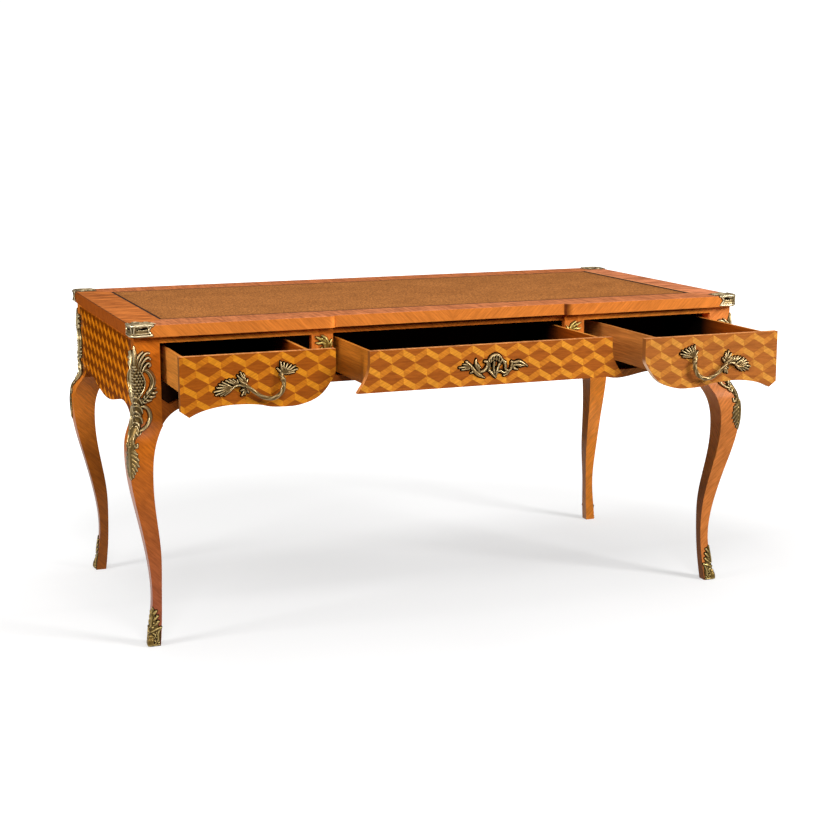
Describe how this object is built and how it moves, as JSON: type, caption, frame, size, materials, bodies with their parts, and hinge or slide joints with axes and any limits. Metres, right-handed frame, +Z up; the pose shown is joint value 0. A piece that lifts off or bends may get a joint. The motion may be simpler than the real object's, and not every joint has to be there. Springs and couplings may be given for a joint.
{
  "type": "bureau plat",
  "caption": "Leather-topped writing desk on cabriole legs with sliding drawers, cube parquetry and cast brass mounts.",
  "frame": {"origin": "on the floor at the middle of the rectangle of the four feet", "axes": "+X to the sitter's right along the desk, front faces -Y, +Z up"},
  "size_m": [1.641, 1.144, 0.783],
  "materials": {
    "veneer": "polished tulipwood veneer, satin lacquer",
    "cube_parquetry": "three-tone cube parquetry, satin lacquer",
    "drawer_wood": "stained drawer lining, satin",
    "carcase_wood": "plain carcase wood",
    "leather": "fine-grained tan leather",
    "dark_inlay": "dark stringing",
    "gilt_brass": "antiqued cast brass",
    "steel": "plain screws"
  },
  "bodies": {
    "desk": {"apron_left": "veneer", "apron_middle": "veneer", "apron_right": "veneer", "back_panel": "cube_parquetry", "corner_cap_front_left": "gilt_brass", "corner_cap_front_right": "gilt_brass", "corner_cap_rear_left": "gilt_brass", "corner_cap_rear_right": "gilt_brass", "drawer_guides": "carcase_wood", "drawer_kickers": "carcase_wood", "drawer_runners": "carcase_wood", "end_panel_left": "cube_parquetry", "end_panel_right": "cube_parquetry", "front_top_rail": "veneer", "glue_blocks": "carcase_wood", "inlay_line": "dark_inlay", "knee_mount_front_left": "gilt_brass", "knee_mount_front_right": "gilt_brass", "knee_mount_rear_left": "gilt_brass", "knee_mount_rear_right": "gilt_brass", "leather_inset": "leather", "leg_front_left": "veneer", "leg_front_right": "veneer", "leg_rear_left": "veneer", "leg_rear_right": "veneer", "lower_rail_left": "carcase_wood", "lower_rail_middle": "carcase_wood", "lower_rail_right": "carcase_wood", "partition_left": "carcase_wood", "partition_right": "carcase_wood", "post_leaf_left": "gilt_brass", "post_leaf_right": "gilt_brass", "post_left": "veneer", "post_right": "veneer", "rear_top_rail": "carcase_wood", "sabot_front_left": "gilt_brass", "sabot_front_right": "gilt_brass", "sabot_rear_left": "gilt_brass", "sabot_rear_right": "gilt_brass", "top_panel": "veneer", "top_screws": "steel"},
    "left_drawer": {"left_drawer_back": "drawer_wood", "left_drawer_bottom": "drawer_wood", "left_drawer_front": "cube_parquetry", "left_drawer_handle": "gilt_brass", "left_drawer_side_inner": "drawer_wood", "left_drawer_side_outer": "drawer_wood"},
    "middle_drawer": {"middle_drawer_back": "drawer_wood", "middle_drawer_bottom": "drawer_wood", "middle_drawer_escutcheon": "gilt_brass", "middle_drawer_front": "cube_parquetry", "middle_drawer_side_left": "drawer_wood", "middle_drawer_side_right": "drawer_wood"},
    "right_drawer": {"right_drawer_back": "drawer_wood", "right_drawer_bottom": "drawer_wood", "right_drawer_front": "cube_parquetry", "right_drawer_handle": "gilt_brass", "right_drawer_side_inner": "drawer_wood", "right_drawer_side_outer": "drawer_wood"}
  },
  "joints": [
    {"name": "left_drawer_slide", "type": "slide", "parent": "desk", "child": "left_drawer", "axis": [0, -1, 0], "range_m": [-0.19, 0.21]},
    {"name": "middle_drawer_slide", "type": "slide", "parent": "desk", "child": "middle_drawer", "axis": [0, -1, 0], "range_m": [-0.277, 0.123]},
    {"name": "right_drawer_slide", "type": "slide", "parent": "desk", "child": "right_drawer", "axis": [0, -1, 0], "range_m": [-0.323, 0.077]}
  ]
}
